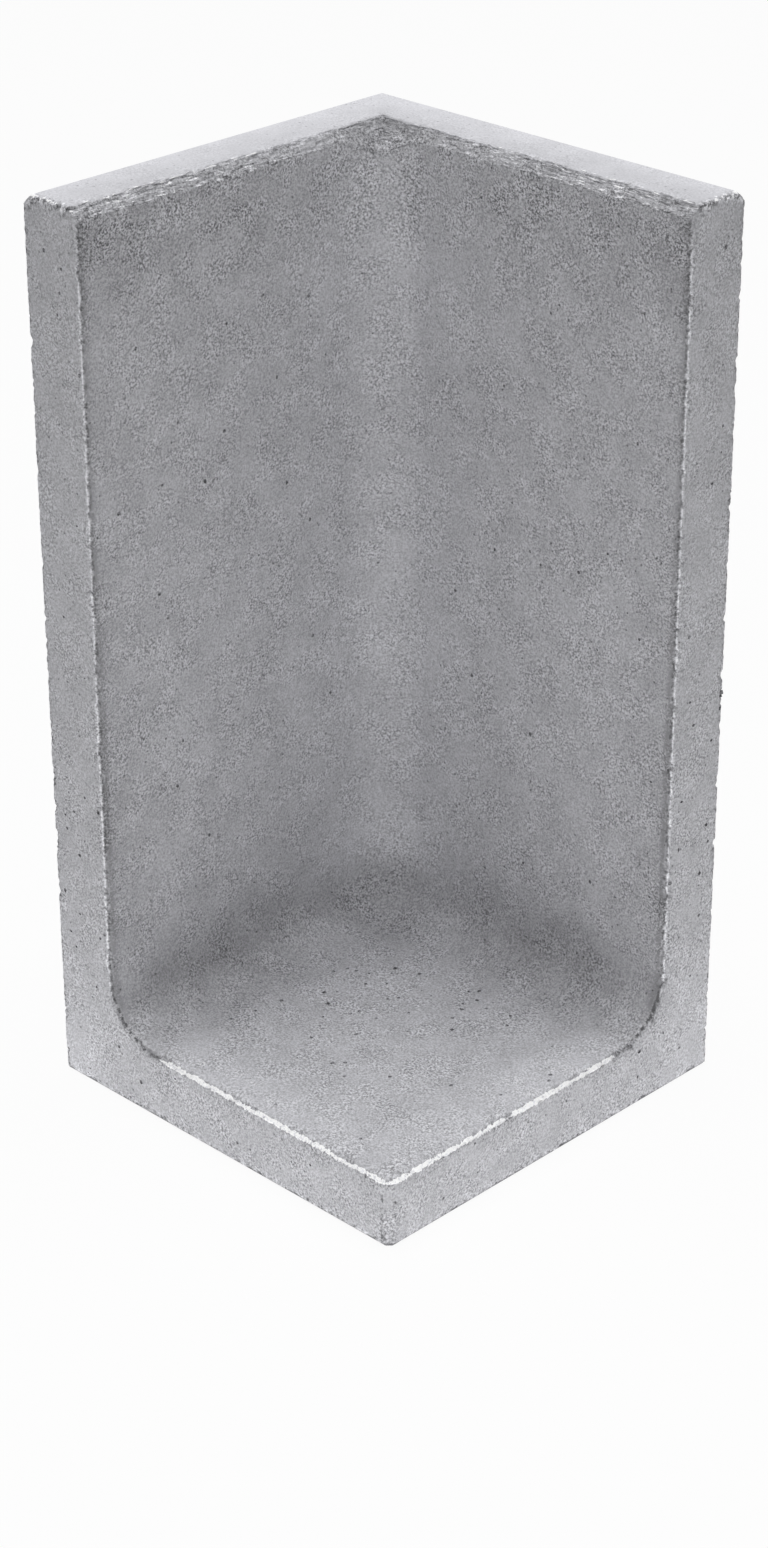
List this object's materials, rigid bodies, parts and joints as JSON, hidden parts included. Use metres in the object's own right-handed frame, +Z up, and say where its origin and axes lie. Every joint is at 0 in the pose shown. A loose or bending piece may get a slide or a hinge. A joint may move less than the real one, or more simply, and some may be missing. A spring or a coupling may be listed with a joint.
{
  "type": "l-shaped retaining wall corner element",
  "caption": "Cast concrete corner of an L-shaped retaining wall: upright walls meet at a right angle on a square foot, with rounded roots and chamfered edges.",
  "frame": {"origin": "centre of the square footprint, on the underside of the foot", "axes": "+Z up along the walls; one wall lies along the -X side and the other along the +Y side, so the outer corner points to -X and +Y and the tip of the foot points to +X and -Y"},
  "size_m": [0.4, 0.4, 0.8],
  "materials": {
    "concrete": "matte"
  },
  "bodies": {
    "root": {"corner_wall_element": "concrete"}
  },
  "joints": []
}
